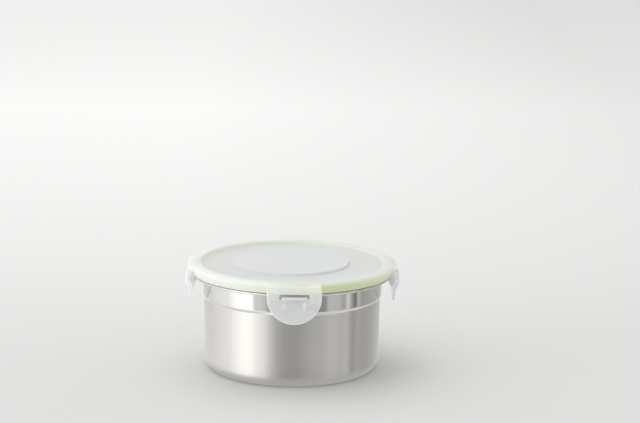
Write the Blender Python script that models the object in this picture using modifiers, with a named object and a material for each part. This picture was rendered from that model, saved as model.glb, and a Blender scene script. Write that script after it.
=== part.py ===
"""Round clip-lock food container: a drawn steel bowl, a lid with four fold-down latches, and a seal.

Run it with blender --background --python part.py, or from Blender's text editor.
Units are metres, +Z is up, the origin is the centre of the base, and one latch faces -Y.
"""

import math

import bmesh
import bpy
from mathutils import Matrix, Vector
from mathutils.geometry import interpolate_bezier

MM = 0.001

# Facets round every turned piece, a multiple of four so that each latch faces the middle of its ear
TURN_STEPS = 64
WELD = 0.001 * MM

# Steel bowl
SHEET = 0.6 * MM
WALL_RADIUS = 60.9 * MM
WALL_TAPER = 0.5 * MM
CORNER_RADIUS = 8.0 * MM
FOOT_RADIUS = 46.0 * MM
DISH_RADIUS = 43.4 * MM
DISH_HEIGHT = 2.0 * MM
STEP_BOTTOM = 50.4 * MM
STEP_TOP = 52.6 * MM
BAND_RADIUS = 62.1 * MM
FLANGE_TOP = 67.0 * MM
FLANGE_FILLET = 1.0 * MM
FLANGE_RADIUS = 68.4 * MM
ROLL_RADIUS = 0.95 * MM

# Lid
LID_RADIUS = 69.0 * MM
LID_EDGE = 67.8 * MM
SKIRT_STRAIGHT = 0.7 * MM
LIP_TOP = 74.7 * MM
LIP_RADIUS = 64.3 * MM
RIM_RADIUS = 70.9 * MM
RIM_HEIGHT = 72.3 * MM
PANEL_TOP = 72.7 * MM
PANEL_RADIUS = 61.2 * MM
LID_WALL = 1.5 * MM
LID_SOFTNESS = 0.8 * MM
DISC_RADIUS = 39.4 * MM
DISC_RISE = 1.6 * MM
PLUG_RADIUS = 60.9 * MM
PLUG_BOTTOM = 62.3 * MM
PLUG_END_RADIUS = 0.75 * MM

# Seal: how far its lips stay off the flange, and how deep the groove between them is
SEAL_CLEARANCE = 0.35 * MM
SEAL_GROOVE = 1.1 * MM
SEAL_LIPS = (66.0 * MM, 64.9 * MM, 64.6 * MM, 63.7 * MM, 63.5 * MM, 62.0 * MM)

# Ears, hinges and latches, as radius from the lid's axis and height above the base
EAR_ROOT_RADIUS = 66.25 * MM
EAR_EDGE = 71.1 * MM
EAR_TOP = 72.8 * MM
EAR_BOTTOM = 71.4 * MM
HINGE_RADIUS = 71.4 * MM
HINGE_HEIGHT = 72.0 * MM
WEB_OUTSIDE = 0.8 * MM
WEB_THICKNESS = 0.5 * MM
WEB_HALF_WIDTH = 17.5 * MM
FLAP_HALF_WIDTH = 18.0 * MM
FLAP_ROUND_CENTRE = 65.0 * MM
FLAP_TOP = 71.7 * MM
FLAP_SHOULDER = 70.2 * MM
FLAP_SHOULDER_OUTSIDE = 72.6 * MM
FLAP_SHOULDER_INSIDE = 71.1 * MM
FLAP_UPRIGHT_TOP = 67.5 * MM
FLAP_OUTSIDE = 73.1 * MM
FLAP_THICKNESS = 1.6 * MM
BEND_TOP = 64.0 * MM
BEND_BOTTOM = 56.6 * MM
BEND_SOFTNESS = 3.0 * MM
TAB_OUTSIDE = 70.7 * MM
TAB_END_THICKNESS = 1.2 * MM
SLOT_HALF_WIDTH = 10.0 * MM
SLOT_TOP = 68.2 * MM
SLOT_SILL_INSIDE = 66.0 * MM
SLOT_SILL_OUTSIDE = 64.5 * MM
HOOK_TIP = 65.4 * MM
HOOK_TOP = 64.6 * MM
HOOK_THICKNESS = 2.0 * MM
HOOK_NOSE = 0.7 * MM
GUSSET_OFFSET = 6.6 * MM
GUSSET_THICKNESS = 1.2 * MM
GUSSET_BOTTOM = 55.0 * MM
GUSSET_SETBACK = 0.25 * MM
BLANK_HALF_WIDTH = 20.0 * MM

LATCH_SIDES = {"right": 0, "back": 90, "left": 180, "front": 270}


def clear_scene():
    """Starts from an empty scene."""
    for obj in list(bpy.data.objects):
        bpy.data.objects.remove(obj, do_unlink=True)


def new_collection(name):
    collection = bpy.data.collections.new(name)
    bpy.context.scene.collection.children.link(collection)
    return collection


def new_material(name, colour, roughness, metallic):
    material = bpy.data.materials.new(name)
    material.use_nodes = True
    shader = material.node_tree.nodes["Principled BSDF"]
    shader.inputs["Base Color"].default_value = (*colour, 1.0)
    shader.inputs["Roughness"].default_value = roughness
    shader.inputs["Metallic"].default_value = metallic
    return material


def new_object(name, mesh, collection, parent=None):
    obj = bpy.data.objects.new(name, mesh)
    collection.objects.link(obj)
    obj.parent = parent
    return obj


def new_empty(name, location, collection, parent=None):
    empty = new_object(name, None, collection, parent)
    empty.location = location
    return empty


def arc(centre, radius, start, end, count):
    """Points on a circle from start to end degrees, both ends included."""
    angles = [math.radians(start + (end - start) * i / count) for i in range(count + 1)]
    return [(centre[0] + radius * math.cos(a), centre[1] + radius * math.sin(a)) for a in angles]


def curve_between(start, handle, end_handle, end, count):
    """Points on a Bezier curve in the plane of the profile, both ends included."""
    flat = [Vector((x, z, 0)) for x, z in (start, handle, end_handle, end)]
    return [(point.x, point.y) for point in interpolate_bezier(*flat, count + 1)]


def turned(name, profile, collection, parent=None, base=0.0):
    """An open or closed radius-height profile turned round Z. base is the height of the parent."""
    mesh = bpy.data.meshes.new(name)
    points = [(radius, 0, height - base) for radius, height in profile]
    edges = [(i, i + 1) for i in range(len(points) - 1)]
    if points[0][0] > WELD:
        edges.append((len(points) - 1, 0))
    mesh.from_pydata(points, edges, [])
    obj = new_object(name, mesh, collection, parent)
    screw = obj.modifiers.new("turn", "SCREW")
    screw.steps = TURN_STEPS
    screw.render_steps = TURN_STEPS
    screw.use_merge_vertices = True
    screw.merge_threshold = WELD
    screw.use_smooth_shade = True
    return obj


def prism(name, outline, half_length, turn, collection):
    """A closed outline filled and extruded both ways, made a mesh and turned from its drawing plane."""
    drawing = bpy.data.curves.new(name, "CURVE")
    drawing.dimensions = "2D"
    drawing.fill_mode = "BOTH"
    drawing.extrude = half_length
    spline = drawing.splines.new("POLY")
    spline.points.add(len(outline) - 1)
    for point, (x, y) in zip(spline.points, outline):
        point.co = (x, y, 0, 1)
    spline.use_cyclic_u = True
    sketch = new_object(name + "_sketch", drawing, collection)
    graph = bpy.context.evaluated_depsgraph_get()
    mesh = bpy.data.meshes.new_from_object(sketch.evaluated_get(graph))
    bpy.data.objects.remove(sketch, do_unlink=True)
    solid = bmesh.new()
    solid.from_mesh(mesh)
    bmesh.ops.remove_doubles(solid, verts=solid.verts, dist=WELD)
    bmesh.ops.transform(solid, matrix=turn, verts=solid.verts)
    bmesh.ops.recalc_face_normals(solid, faces=solid.faces)
    solid.to_mesh(mesh)
    solid.free()
    mesh.name = name
    return mesh


def cutter(name, mesh, collection, parent=None):
    """A helper for a Boolean, left out of renders."""
    obj = new_object(name, mesh, collection, parent)
    obj.hide_render = True
    obj.display_type = "WIRE"
    return obj


def combine(obj, other, operation):
    boolean = obj.modifiers.new(other.name, "BOOLEAN")
    boolean.operation = operation
    boolean.object = other


# Drawing planes: radius-height swept along the tangent, tangent-height swept along the radius
SIDE_VIEW = Matrix.Rotation(math.radians(90), 4, "X")
FACE_VIEW = Matrix(((0, 0, 1), (1, 0, 0), (0, 1, 0))).to_4x4()


def bowl_profile():
    """The sheet's section: up the inside from the middle, round the rolled edge, down the outside."""
    corner = (WALL_RADIUS - WALL_TAPER - CORNER_RADIUS, CORNER_RADIUS)
    fillet = (BAND_RADIUS + FLANGE_FILLET, FLANGE_TOP - SHEET - FLANGE_FILLET)
    roll = (FLANGE_RADIUS - ROLL_RADIUS, FLANGE_TOP - ROLL_RADIUS)
    roll_meets_flange = 180 - math.degrees(math.asin((ROLL_RADIUS - SHEET) / ROLL_RADIUS))
    step_middle = (STEP_BOTTOM + STEP_TOP) / 2
    step_out = BAND_RADIUS - WALL_RADIUS
    shoulder = [
        (WALL_RADIUS, STEP_BOTTOM),
        (WALL_RADIUS + 0.15 * step_out, STEP_BOTTOM + 0.25 * (STEP_TOP - STEP_BOTTOM)),
        (WALL_RADIUS + 0.5 * step_out, step_middle),
        (WALL_RADIUS + 0.85 * step_out, STEP_TOP - 0.25 * (STEP_TOP - STEP_BOTTOM)),
        (BAND_RADIUS, STEP_TOP),
    ]
    inside = [(0, DISH_HEIGHT + SHEET), (DISH_RADIUS, DISH_HEIGHT + SHEET), (FOOT_RADIUS, SHEET)]
    inside += arc(corner, CORNER_RADIUS - SHEET, -90, 0, 5)
    inside += [(radius - SHEET, height) for radius, height in shoulder]
    inside += arc(fillet, FLANGE_FILLET + SHEET, 180, 90, 3)
    rolled_edge = arc(roll, ROLL_RADIUS, 90, roll_meets_flange - 360, 10)
    outside = arc(fillet, FLANGE_FILLET, 90, 180, 3)
    outside += reversed(shoulder)
    outside += arc(corner, CORNER_RADIUS, 0, -90, 6)
    outside += [(FOOT_RADIUS, 0), (DISH_RADIUS, DISH_HEIGHT), (0, DISH_HEIGHT)]
    return inside + rolled_edge + outside


def lid_profile():
    """The lid's section: out over the rim and down the skirt, then back under the rim and the panel."""
    disc_top = PANEL_TOP + DISC_RISE
    soft = LID_SOFTNESS
    disc_edge = curve_between(
        (DISC_RADIUS - soft, disc_top),
        (DISC_RADIUS, disc_top),
        (DISC_RADIUS, PANEL_TOP),
        (DISC_RADIUS + soft, PANEL_TOP),
        4,
    )
    lip = curve_between(
        (PANEL_RADIUS, PANEL_TOP),
        (PANEL_RADIUS + 2 * soft, PANEL_TOP),
        (PANEL_RADIUS + soft, LIP_TOP),
        (LIP_RADIUS, LIP_TOP),
        5,
    )
    skirt_top = LID_EDGE + SKIRT_STRAIGHT
    rim = curve_between(
        (LIP_RADIUS, LIP_TOP),
        (LIP_RADIUS + 3.0 * MM, LIP_TOP),
        (RIM_RADIUS, RIM_HEIGHT + 2.0 * MM),
        (RIM_RADIUS, RIM_HEIGHT),
        5,
    )
    skirt = curve_between(
        (RIM_RADIUS, RIM_HEIGHT),
        (RIM_RADIUS, RIM_HEIGHT - 1.5 * MM),
        (LID_RADIUS + 0.3 * MM, skirt_top + 1.2 * MM),
        (LID_RADIUS, skirt_top),
        4,
    )
    inner_edge = LID_RADIUS - 1.6 * MM
    roof = LIP_TOP - LID_WALL
    channel = curve_between(
        (inner_edge, skirt_top),
        (inner_edge - 0.4 * MM, skirt_top + 1.7 * MM),
        (LIP_RADIUS + 0.8 * MM, roof - 0.3 * MM),
        (LIP_RADIUS - 0.1 * MM, roof),
        5,
    )
    channel += [(LIP_RADIUS - 0.9 * MM, roof - 0.3 * MM), (LIP_RADIUS - 1.4 * MM, PANEL_TOP - 0.9 * MM)]
    channel += [(PLUG_RADIUS + 1.1 * MM, PANEL_TOP - 1.5 * MM), (PLUG_RADIUS, PANEL_TOP - 1.9 * MM)]
    plug_end = (PLUG_RADIUS - 0.2 * MM - PLUG_END_RADIUS, PLUG_BOTTOM + PLUG_END_RADIUS)
    plug = arc(plug_end, PLUG_END_RADIUS, 0, -180, 4)
    plug_inside = PLUG_RADIUS - LID_WALL
    underside = PANEL_TOP - LID_WALL
    below = [(plug_inside, underside - 1.0 * MM), (plug_inside - 1.0 * MM, underside)]
    below += [(DISC_RADIUS + soft, underside), (DISC_RADIUS - soft, underside + DISC_RISE)]
    top = [(0, disc_top)] + disc_edge + lip + rim[1:] + skirt[1:]
    edge = [(LID_RADIUS, LID_EDGE), (inner_edge, LID_EDGE)]
    return top + edge + channel + plug + below + [(0, underside + DISC_RISE)]


def gasket_profile():
    """The seal's section: a wedge that fills the channel, with two lips that press on the flange."""
    lip_end = FLANGE_TOP + SEAL_CLEARANCE
    groove = lip_end + SEAL_GROOVE
    shoulder = PANEL_TOP - 2.2 * MM
    outside = [
        (LIP_RADIUS - 0.2 * MM, PANEL_TOP - 0.1 * MM),
        (LIP_RADIUS + 0.45 * MM, PANEL_TOP - 0.6 * MM),
        (LIP_RADIUS + 1.3 * MM, PANEL_TOP - 1.6 * MM),
        (LIP_RADIUS + 2.1 * MM, PANEL_TOP - 2.95 * MM),
        (LID_RADIUS - 2.1 * MM, LID_EDGE + 0.6 * MM),
        (LID_RADIUS - 2.6 * MM, LID_EDGE - 0.2 * MM),
    ]
    lips = list(zip(SEAL_LIPS, (lip_end, lip_end, groove, groove, lip_end, lip_end)))
    inside = [(PLUG_RADIUS + 0.45 * MM, lip_end + 0.7 * MM), (PLUG_RADIUS + 0.4 * MM, shoulder)]
    inside += [(PLUG_RADIUS + 1.4 * MM, shoulder + 0.3 * MM), (LIP_RADIUS - 1.0 * MM, PANEL_TOP - 1.1 * MM)]
    return outside + lips + inside


def ear_outline():
    """A tab in plan: its root follows the skirt and its outer edge is straight, where the hinge starts."""
    spread = math.degrees(math.asin(FLAP_HALF_WIDTH / EAR_ROOT_RADIUS))
    root = arc((0, 0), EAR_ROOT_RADIUS, -spread, spread, 6)
    return root + [(EAR_EDGE, FLAP_HALF_WIDTH), (EAR_EDGE, -FLAP_HALF_WIDTH)]


def from_hinge(points):
    """Radius-height points seen from the hinge's axis."""
    return [(radius - HINGE_RADIUS, height - HINGE_HEIGHT) for radius, height in points]


def flap_bend():
    """The outside of the flap from its upright part to its pull tab."""
    return curve_between(
        (FLAP_OUTSIDE, BEND_TOP),
        (FLAP_OUTSIDE, BEND_TOP - BEND_SOFTNESS),
        (TAB_OUTSIDE, BEND_BOTTOM + BEND_SOFTNESS),
        (TAB_OUTSIDE, BEND_BOTTOM),
        6,
    )


def flap_section():
    """The flap from the side: thin at the hinge, upright past the rim, then stepped in to a pull tab."""
    lower_end = FLAP_ROUND_CENTRE - FLAP_HALF_WIDTH - 1.0 * MM
    bend = flap_bend()
    outside = [(HINGE_RADIUS + WEB_OUTSIDE, FLAP_TOP), (FLAP_SHOULDER_OUTSIDE, FLAP_SHOULDER)]
    outside += [(FLAP_OUTSIDE, FLAP_UPRIGHT_TOP)] + bend + [(TAB_OUTSIDE, lower_end)]
    inside = [(TAB_OUTSIDE - TAB_END_THICKNESS, lower_end)]
    inside += [(radius - FLAP_THICKNESS, height) for radius, height in reversed(bend)]
    inside += [(FLAP_OUTSIDE - FLAP_THICKNESS, FLAP_UPRIGHT_TOP), (FLAP_SHOULDER_INSIDE, FLAP_SHOULDER)]
    inside += [(HINGE_RADIUS + 0.1 * MM, FLAP_TOP)]
    return from_hinge(outside + inside)


def flap_outline():
    """The flap from the front: straight sides that end in a half circle."""
    centre = (0, FLAP_ROUND_CENTRE - HINGE_HEIGHT)
    above = FLAP_TOP - HINGE_HEIGHT + 1.0 * MM
    round_end = arc(centre, FLAP_HALF_WIDTH, 180, 360, 20)
    return round_end + [(FLAP_HALF_WIDTH, above), (-FLAP_HALF_WIDTH, above)]


def slot_section():
    """The slot from the side, with a sill that slopes down towards the outside."""
    inner_face = FLAP_OUTSIDE - FLAP_THICKNESS
    slope = (SLOT_SILL_OUTSIDE - SLOT_SILL_INSIDE) / FLAP_THICKNESS
    reach = 1.5 * MM
    return from_hinge(
        [
            (inner_face - reach, SLOT_TOP),
            (inner_face - reach, SLOT_SILL_INSIDE),
            (inner_face, SLOT_SILL_INSIDE),
            (FLAP_OUTSIDE + reach, SLOT_SILL_OUTSIDE + slope * reach),
            (FLAP_OUTSIDE + reach, SLOT_TOP),
        ]
    )


def hook_section():
    """The rib that catches under the rolled edge, from the side. Its root ends inside the flap."""
    bottom = HOOK_TOP - HOOK_THICKNESS
    root = FLAP_OUTSIDE - FLAP_THICKNESS / 2
    return from_hinge(
        [
            (HOOK_TIP + HOOK_NOSE, HOOK_TOP),
            (HOOK_TIP, HOOK_TOP - HOOK_NOSE),
            (HOOK_TIP, bottom + HOOK_NOSE),
            (HOOK_TIP + HOOK_NOSE, bottom),
            (root - 0.4 * MM, bottom),
            (root, HOOK_TOP),
        ]
    )


def gusset_section():
    """A web that carries the hook, from the side: it runs from the rib's nose down to the pull tab."""
    nose_height = HOOK_TOP - HOOK_THICKNESS + HOOK_NOSE
    plate_middle = [(radius - FLAP_THICKNESS / 2, height) for radius, height in flap_bend()]
    tab_middle = plate_middle[-1][0]
    front = [(HOOK_TIP + GUSSET_SETBACK, nose_height), (tab_middle - GUSSET_THICKNESS / 2, GUSSET_BOTTOM)]
    root = [(tab_middle, GUSSET_BOTTOM)] + plate_middle[:0:-1] + [(plate_middle[1][0], nose_height)]
    return from_hinge(front + root)


def web_section():
    """The living hinge from the side: a thin quarter bend from the ear down to the flap."""
    outside = arc((0, 0), WEB_OUTSIDE, 90, 0, 5)
    inside = arc((0, 0), WEB_OUTSIDE - WEB_THICKNESS, 0, 90, 3)
    return outside + inside


def shifted(mesh, tangent):
    mesh.transform(Matrix.Translation((0, tangent, 0)))
    return mesh


def latch_mesh(cutters):
    """One flap with its slot, hook rib and gussets, with its origin on the hinge's axis."""
    blank = prism("latch_blank", flap_section(), BLANK_HALF_WIDTH, SIDE_VIEW, cutters)
    flap = new_object("latch_blank", blank, cutters)
    outline = prism("flap_outline", flap_outline(), BLANK_HALF_WIDTH, FACE_VIEW, cutters)
    slot = prism("slot", slot_section(), SLOT_HALF_WIDTH, SIDE_VIEW, cutters)
    hook = prism("hook", hook_section(), SLOT_HALF_WIDTH, SIDE_VIEW, cutters)
    helpers = [
        (cutter("flap_outline", outline, cutters), "INTERSECT"),
        (cutter("slot", slot, cutters), "DIFFERENCE"),
        (cutter("hook", hook, cutters), "UNION"),
    ]
    for name, side in (("gusset_low", -1), ("gusset_high", 1)):
        gusset = prism(name, gusset_section(), GUSSET_THICKNESS / 2, SIDE_VIEW, cutters)
        helpers.append((cutter(name, shifted(gusset, side * GUSSET_OFFSET), cutters), "UNION"))
    for helper, operation in helpers:
        combine(flap, helper, operation)
    graph = bpy.context.evaluated_depsgraph_get()
    mesh = bpy.data.meshes.new_from_object(flap.evaluated_get(graph))
    mesh.name = "latch"
    for obj in [flap] + [helper for helper, _ in helpers]:
        bpy.data.objects.remove(obj, do_unlink=True)
    return mesh


def dress(obj, material, sharp_angle=40):
    """Gives a piece its material, and smooth shading with sharp edges."""
    mesh = obj.data
    mesh.materials.clear()
    mesh.materials.append(material)
    if mesh.polygons:
        mesh.shade_smooth()
        mesh.set_sharp_from_angle(angle=math.radians(sharp_angle))


def build():
    clear_scene()
    parts = new_collection("clip_lock_food_container")
    cutters = new_collection("cutters")
    steel = new_material("stainless_steel", (0.62, 0.61, 0.59), 0.28, 1.0)
    frosted = new_material("frosted_polypropylene", (0.83, 0.85, 0.84), 0.38, 0.0)
    silicone = new_material("green_silicone", (0.55, 0.68, 0.24), 0.5, 0.0)

    dress(turned("steel_bowl", bowl_profile(), parts), steel)

    lid_seat = new_empty("lid_seat", (0, 0, FLANGE_TOP), parts)
    lid = turned("lid", lid_profile(), parts, lid_seat, FLANGE_TOP)
    dress(lid, frosted)
    dress(turned("gasket", gasket_profile(), parts, lid_seat, FLANGE_TOP), silicone)

    ear_height = Matrix.Translation((0, 0, (EAR_TOP + EAR_BOTTOM) / 2 - FLANGE_TOP))
    ear = prism("ear", ear_outline(), (EAR_TOP - EAR_BOTTOM) / 2, ear_height, cutters)
    flap = latch_mesh(cutters)
    web = prism("hinge_web", web_section(), WEB_HALF_WIDTH, SIDE_VIEW, cutters)
    for side, turn in LATCH_SIDES.items():
        angle = math.radians(turn)
        ear_tab = cutter(side + "_ear", ear, cutters, lid_seat)
        ear_tab.rotation_euler.z = angle
        combine(lid, ear_tab, "UNION")
        x, y = HINGE_RADIUS * math.cos(angle), HINGE_RADIUS * math.sin(angle)
        axis = new_empty(side + "_latch_axis", (x, y, HINGE_HEIGHT - FLANGE_TOP), parts, lid_seat)
        axis.rotation_euler.z = angle
        dress(new_object(side + "_latch", flap, parts, axis), frosted)
        dress(new_object(side + "_hinge", web, parts, axis), frosted)


build()
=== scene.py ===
"""Round steel food container with a frosted clip-lock lid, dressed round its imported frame.

The file is laid out as an add-on and run as a script. Units are metres and +Z is up.
The container stands on its base at the origin, with one latch towards the camera at -Y.
"""

import math

import bmesh
import bpy
from bpy.props import FloatProperty, FloatVectorProperty, IntProperty, PointerProperty
from mathutils import Matrix, Vector
from mathutils.geometry import interpolate_bezier


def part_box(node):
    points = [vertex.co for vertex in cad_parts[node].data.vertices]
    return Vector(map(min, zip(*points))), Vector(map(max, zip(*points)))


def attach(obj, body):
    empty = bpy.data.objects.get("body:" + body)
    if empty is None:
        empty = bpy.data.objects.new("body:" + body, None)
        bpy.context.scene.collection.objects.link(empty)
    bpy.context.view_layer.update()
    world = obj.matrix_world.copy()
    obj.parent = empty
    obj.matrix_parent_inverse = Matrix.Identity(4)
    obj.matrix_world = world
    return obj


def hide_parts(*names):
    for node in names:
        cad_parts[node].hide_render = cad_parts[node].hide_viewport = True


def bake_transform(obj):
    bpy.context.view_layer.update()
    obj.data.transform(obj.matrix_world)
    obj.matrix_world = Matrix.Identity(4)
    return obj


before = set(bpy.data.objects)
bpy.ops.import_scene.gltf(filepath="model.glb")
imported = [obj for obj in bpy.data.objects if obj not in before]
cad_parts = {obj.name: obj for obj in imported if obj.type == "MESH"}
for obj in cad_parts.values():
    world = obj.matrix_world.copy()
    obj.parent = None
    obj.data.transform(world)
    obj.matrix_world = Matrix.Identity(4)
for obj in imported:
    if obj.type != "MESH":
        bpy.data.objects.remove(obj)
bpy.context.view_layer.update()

bl_info = {
    "name": "Clip-lock food container",
    "version": (1, 0, 0),
    "blender": (4, 5, 0),
    "location": "View3D > Sidebar > Container",
    "description": "Makes a steel food container with a frosted lid, its seal and its four latches",
    "category": "Object",
}

MM = 0.001
WELD = 0.001 * MM
SHARP_EDGE = math.radians(40)

# The latches in the order in which they go round the lid, from +X towards +Y
SIDES = ("right", "back", "left", "front")

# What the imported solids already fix
BOWL_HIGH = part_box("steel_bowl")[1]
LID_LOW, LID_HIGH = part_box("lid")
FLAP_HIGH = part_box("right_latch")[1]
SEAL_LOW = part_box("gasket")[0]


def linear(hex_colour):
    """A colour written as sRGB hex, as the linear values that shaders work in."""
    parts = [int(hex_colour[i : i + 2], 16) / 255 for i in (1, 3, 5)]
    return tuple(v / 12.92 if v <= 0.04045 else ((v + 0.055) / 1.055) ** 2.4 for v in parts)


def length(name, description, metres):
    """A size that the user may change."""
    return FloatProperty(name=name, description=description, default=metres, unit="LENGTH", precision=5)


def number(name, description, value, unit="NONE"):
    """A setting that the user may change."""
    return FloatProperty(name=name, description=description, default=value, unit=unit)


def colour(name, description, hex_colour):
    """A colour that the user may change."""
    return FloatVectorProperty(
        name=name, description=description, default=linear(hex_colour), subtype="COLOR", min=0, max=1
    )


class BowlSizes(bpy.types.PropertyGroup):
    """The drawn steel bowl."""

    sheet: length("Sheet", "Thickness of the drawn steel", 0.6 * MM)
    wall_radius: length("Wall radius", "Outside of the satin wall, just under its step", 60.9 * MM)
    taper: length("Taper", "How much narrower the wall is at its foot", 0.5 * MM)
    corner: length("Corner radius", "Bend between the wall and the base", 8.0 * MM)
    foot_radius: length("Foot radius", "Inner edge of the flat ring that the bowl stands on", 46.0 * MM)
    dish_radius: length("Dish radius", "Edge of the raised middle of the base", 43.4 * MM)
    dish_height: length("Dish height", "How far the middle of the base is pushed up", 2.0 * MM)
    step_bottom: length("Step bottom", "Height where the wall starts to widen", 50.0 * MM)
    step_top: length("Step top", "Height where the wider band starts", 53.2 * MM)
    band_radius: length("Band radius", "Outside of the polished band above the step", 62.1 * MM)
    flange_top: length("Flange top", "Height of the flange under the seal", BOWL_HIGH[2])
    flange_radius: length("Flange radius", "Outside of the rolled edge", BOWL_HIGH[0])
    fillet: length("Flange fillet", "Bend from the band to the flange", 1.0 * MM)
    roll: length("Roll radius", "Radius of the rolled edge", 0.95 * MM)


class LidSizes(bpy.types.PropertyGroup):
    """The moulded lid, its ears and its seal."""

    radius: length("Lid radius", "Outside of the skirt at its lower edge", 69.0 * MM)
    edge: length("Skirt edge", "Height of the skirt's lower edge", 67.4 * MM)
    skirt_end: length("Skirt end", "Height of the upright strip along that edge", 0.7 * MM)
    rim_radius: length("Rim radius", "Outside of the rim at its widest", 70.9 * MM)
    rim_height: length("Rim height", "Height of the rim's widest line", 72.3 * MM)
    lip_top: length("Lip top", "Height of the top of the rim", LID_HIGH[2])
    lip_radius: length("Lip radius", "Radius of the highest line of the rim", 64.3 * MM)
    panel_top: length("Panel top", "Height of the sunken panel", 72.7 * MM)
    panel_radius: length("Panel radius", "Edge of the flat part of the panel", 61.2 * MM)
    disc_radius: length("Disc radius", "Edge of the raised disc on the panel", 39.4 * MM)
    disc_rise: length("Disc rise", "How far the disc stands over the panel", 1.6 * MM)
    softness: length("Softness", "Half width of the disc's rounded step", 0.8 * MM)
    wall: length("Wall", "Thickness of the moulding", 1.5 * MM)
    plug_radius: length("Plug radius", "Outside of the ring that goes into the bowl", 60.9 * MM)
    plug_bottom: length("Plug bottom", "Lower end of that ring", LID_LOW[2])
    ear_edge: length("Ear edge", "Distance of an ear's straight edge from the lid's axis", LID_HIGH[0])
    ear_top: length("Ear top", "Height of an ear's upper face", 72.8 * MM)
    ear_bottom: length("Ear bottom", "Height of an ear's lower face", 71.4 * MM)
    ear_half_width: length("Ear half width", "Half of an ear's straight edge", 17.2 * MM)
    ear_flank: length("Ear flank", "Length over which an ear's side runs back into the rim", 3.0 * MM)
    seal_groove: length("Seal groove", "Depth of the groove between the lips", 1.1 * MM)


class LatchSizes(bpy.types.PropertyGroup):
    """One latch, which is a flap on a living hinge. All four are alike."""

    hinge_radius: length("Hinge radius", "Distance of the hinge from the lid's axis", 71.4 * MM)
    hinge_height: length("Hinge height", "Height of the hinge", 72.0 * MM)
    web_outside: length("Web outside", "Outer radius of the hinge's thin bend", 0.8 * MM)
    web_thickness: length("Web thickness", "Thickness of that bend", 0.5 * MM)
    web_half_width: length("Web half width", "Half of the hinge's width", 17.5 * MM)
    half_width: length("Half width", "Half of the flap's width and radius of its round end", 18.0 * MM)
    round_centre: length("Round centre", "Height where the round end starts", 65.0 * MM)
    top: length("Flap top", "Height of the flap's upper end", 71.7 * MM)
    outside: length("Flap outside", "Distance of the upright part from the lid's axis", FLAP_HIGH[0])
    tab_outside: length("Tab outside", "Distance of the pull tab from the lid's axis", 70.7 * MM)
    bend_top: length("Bend top", "Height where the flap starts to step in", 64.0 * MM)
    bend_bottom: length("Bend bottom", "Height where the pull tab starts", 56.6 * MM)
    thickness: length("Thickness", "Thickness of the flap", 1.6 * MM)
    rounding: length("Rounding", "Radius on the flap's edges", 0.4 * MM)
    slot_half_width: length("Slot half width", "Half of the slot's width", 10.0 * MM)
    slot_top: length("Slot top", "Upper edge of the slot", 67.8 * MM)
    sill_inside: length("Sill inside", "Height of the slot's sloped sill at the back", 65.6 * MM)
    sill_outside: length("Sill outside", "Height of the sill at the front", 64.5 * MM)
    sill_gap: length("Sill gap", "Width of the gap at each end of the sill and hook", 1.6 * MM)
    hook_tip: length("Hook tip", "Distance of the hook's nose from the lid's axis", 65.4 * MM)
    hook_top: length("Hook top", "Height of the hook's upper face", 64.6 * MM)
    hook_thickness: length("Hook thickness", "Thickness of the hook rib", 2.0 * MM)
    gusset_offset: length("Gusset offset", "Distance of each gusset from the middle", 6.6 * MM)
    gusset_thickness: length("Gusset thickness", "Thickness of a gusset", 1.2 * MM)
    gusset_bottom: length("Gusset bottom", "Lower end of the gussets", 55.0 * MM)


class Finishes(bpy.types.PropertyGroup):
    """Colours of the materials and fineness of the turned pieces."""

    steel: colour("Steel", "Stainless steel, a slightly warm grey", "#C6C4C0")
    plastic: colour("Plastic", "Natural polypropylene, milky white", "#FCFDFD")
    rim: colour("Rim", "Polypropylene with the seal showing through it", "#EDF6CB")
    silicone: colour("Silicone", "Seal, light yellow green", "#B2D24A")
    floor: colour("Floor", "Pale studio floor", "#DCDCDB")
    # Painted light: the floor's colour far off on the left, made paler as if lit more from there
    far_floor_painted_light: colour("Far floor", "The floor far off on the left", "#FEFEFD")
    steps: IntProperty(
        name="Steps", description="Facets round each turned piece", default=256, min=32, max=512
    )


class StageSettings(bpy.types.PropertyGroup):
    """Camera, light and floor."""

    camera_place: FloatVectorProperty(
        name="Camera place",
        description="Where the camera stands",
        default=(-0.0294, -1.3466, 0.3816),
        subtype="TRANSLATION",
    )
    camera_turn: FloatVectorProperty(
        name="Camera turn",
        description="How the camera is turned",
        default=[math.radians(angle) for angle in (78.564, -0.712, -1.898)],
        subtype="EULER",
    )
    focal_length: number("Focal length", "Lens of the camera, in millimetres", 112.5, "CAMERA")
    floor_size: length("Floor size", "Side of the square floor", 12.0)
    even_light: number("Even light", "Brightness of the room for matt surfaces", 0.85)
    softbox_power: number("Softbox power", "Watts of the low softbox on the left", 36.0, "POWER")
    fill_power: number("Fill power", "Watts of the low, weaker light on the right", 16.0, "POWER")
    overhead_power: number("Overhead power", "Watts of the wide light overhead", 4.5, "POWER")


def add_node(tree, kind, inputs=None, **settings):
    """Adds a node. Inputs are values to set, sockets to link, or nodes whose first output is linked."""
    node = tree.nodes.new(kind)
    for name, value in settings.items():
        setattr(node, name, value)
    for key, value in (inputs or {}).items():
        if isinstance(value, bpy.types.Node):
            value = value.outputs[0]
        if isinstance(value, bpy.types.NodeSocket):
            tree.links.new(value, node.inputs[key])
        else:
            node.inputs[key].default_value = value
    return node


def new_shader_tree(owner):
    """An empty node tree on a material or world."""
    owner.use_nodes = True
    owner.node_tree.nodes.clear()
    return owner.node_tree


def new_material(name):
    """A material without nodes, its tree, and the socket that gives each point's place."""
    material = bpy.data.materials.new(name)
    tree = new_shader_tree(material)
    return material, tree, add_node(tree, "ShaderNodeTexCoord").outputs["Object"]


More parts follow.
